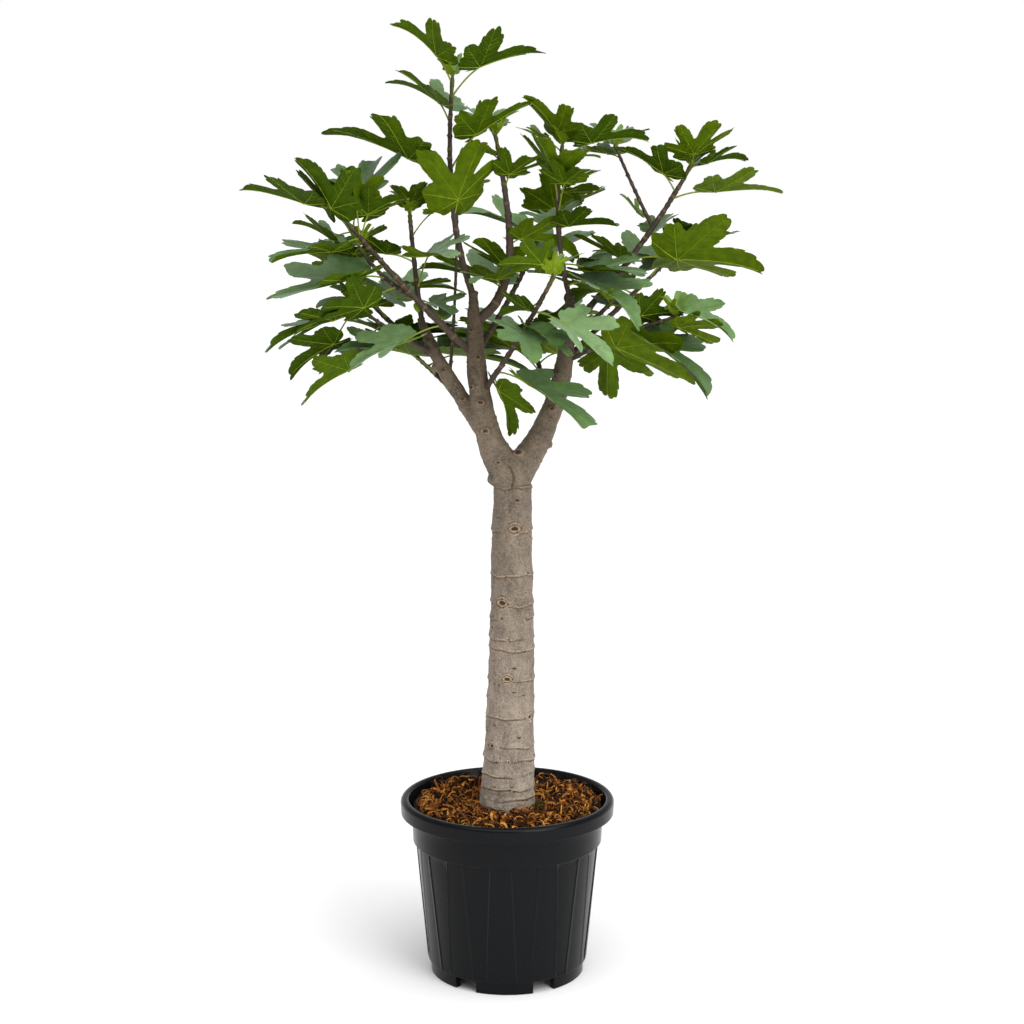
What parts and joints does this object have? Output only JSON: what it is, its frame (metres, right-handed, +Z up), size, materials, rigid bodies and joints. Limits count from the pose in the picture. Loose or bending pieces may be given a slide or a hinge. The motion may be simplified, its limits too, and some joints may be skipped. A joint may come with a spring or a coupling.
{
  "type": "potted fig tree",
  "caption": "Young standard fig tree with a bare ringed trunk, forked boughs and open lobed foliage, growing in a round black nursery pot filled with bark chips.",
  "frame": {"origin": "on the pot's axis, at the middle of the flat pad under the pot, which lies in the plane of its foot ring and stands on the ground", "axes": "+Z up along the pot's axis and the trunk, -Y towards the front that the picture shows, +X to the right of it"},
  "size_m": [0.964, 0.554, 1.7557],
  "materials": {
    "pot_plastic": "black moulded nursery pot plastic with a soft satin sheen",
    "substrate": "curled orange-brown bark and husk chips",
    "bark": "pale grey-brown bark with raised rings, eye-shaped leaf scars and fine pale mottling",
    "shoot": "dark brown young wood with knobbly leaf joints",
    "foliage": "leathery green leaves, glossy grey-green above and yellow-green with raised pale veins below"
  },
  "bodies": {
    "root": {"back_shoot_foliage": "foliage", "back_shoot_limb": "shoot", "bough_centre": "bark", "bough_left": "bark", "bough_right": "bark", "front_shoot_foliage": "foliage", "front_shoot_limb": "shoot", "leader_foliage": "foliage", "left_inner_foliage": "foliage", "left_inner_limb": "shoot", "left_outer_foliage": "foliage", "left_outer_limb": "shoot", "left_upright_foliage": "foliage", "low_left_foliage": "foliage", "low_left_limb": "shoot", "pot": "pot_plastic", "rear_centre_foliage": "foliage", "rear_centre_limb": "shoot", "rear_far_left_foliage": "foliage", "rear_far_left_limb": "shoot", "rear_left_foliage": "foliage", "rear_left_limb": "shoot", "rear_low_foliage": "foliage", "rear_low_limb": "shoot", "rear_right_foliage": "foliage", "rear_right_limb": "shoot", "right_low_foliage": "foliage", "right_low_limb": "shoot", "right_outer_foliage": "foliage", "right_outer_limb": "shoot", "right_short_foliage": "foliage", "right_short_limb": "shoot", "right_twig_foliage": "foliage", "right_twig_limb": "shoot", "right_upright_foliage": "foliage", "second_leader_foliage": "foliage", "second_leader_limb": "shoot", "soil": "substrate", "trunk": "bark"}
  },
  "joints": []
}
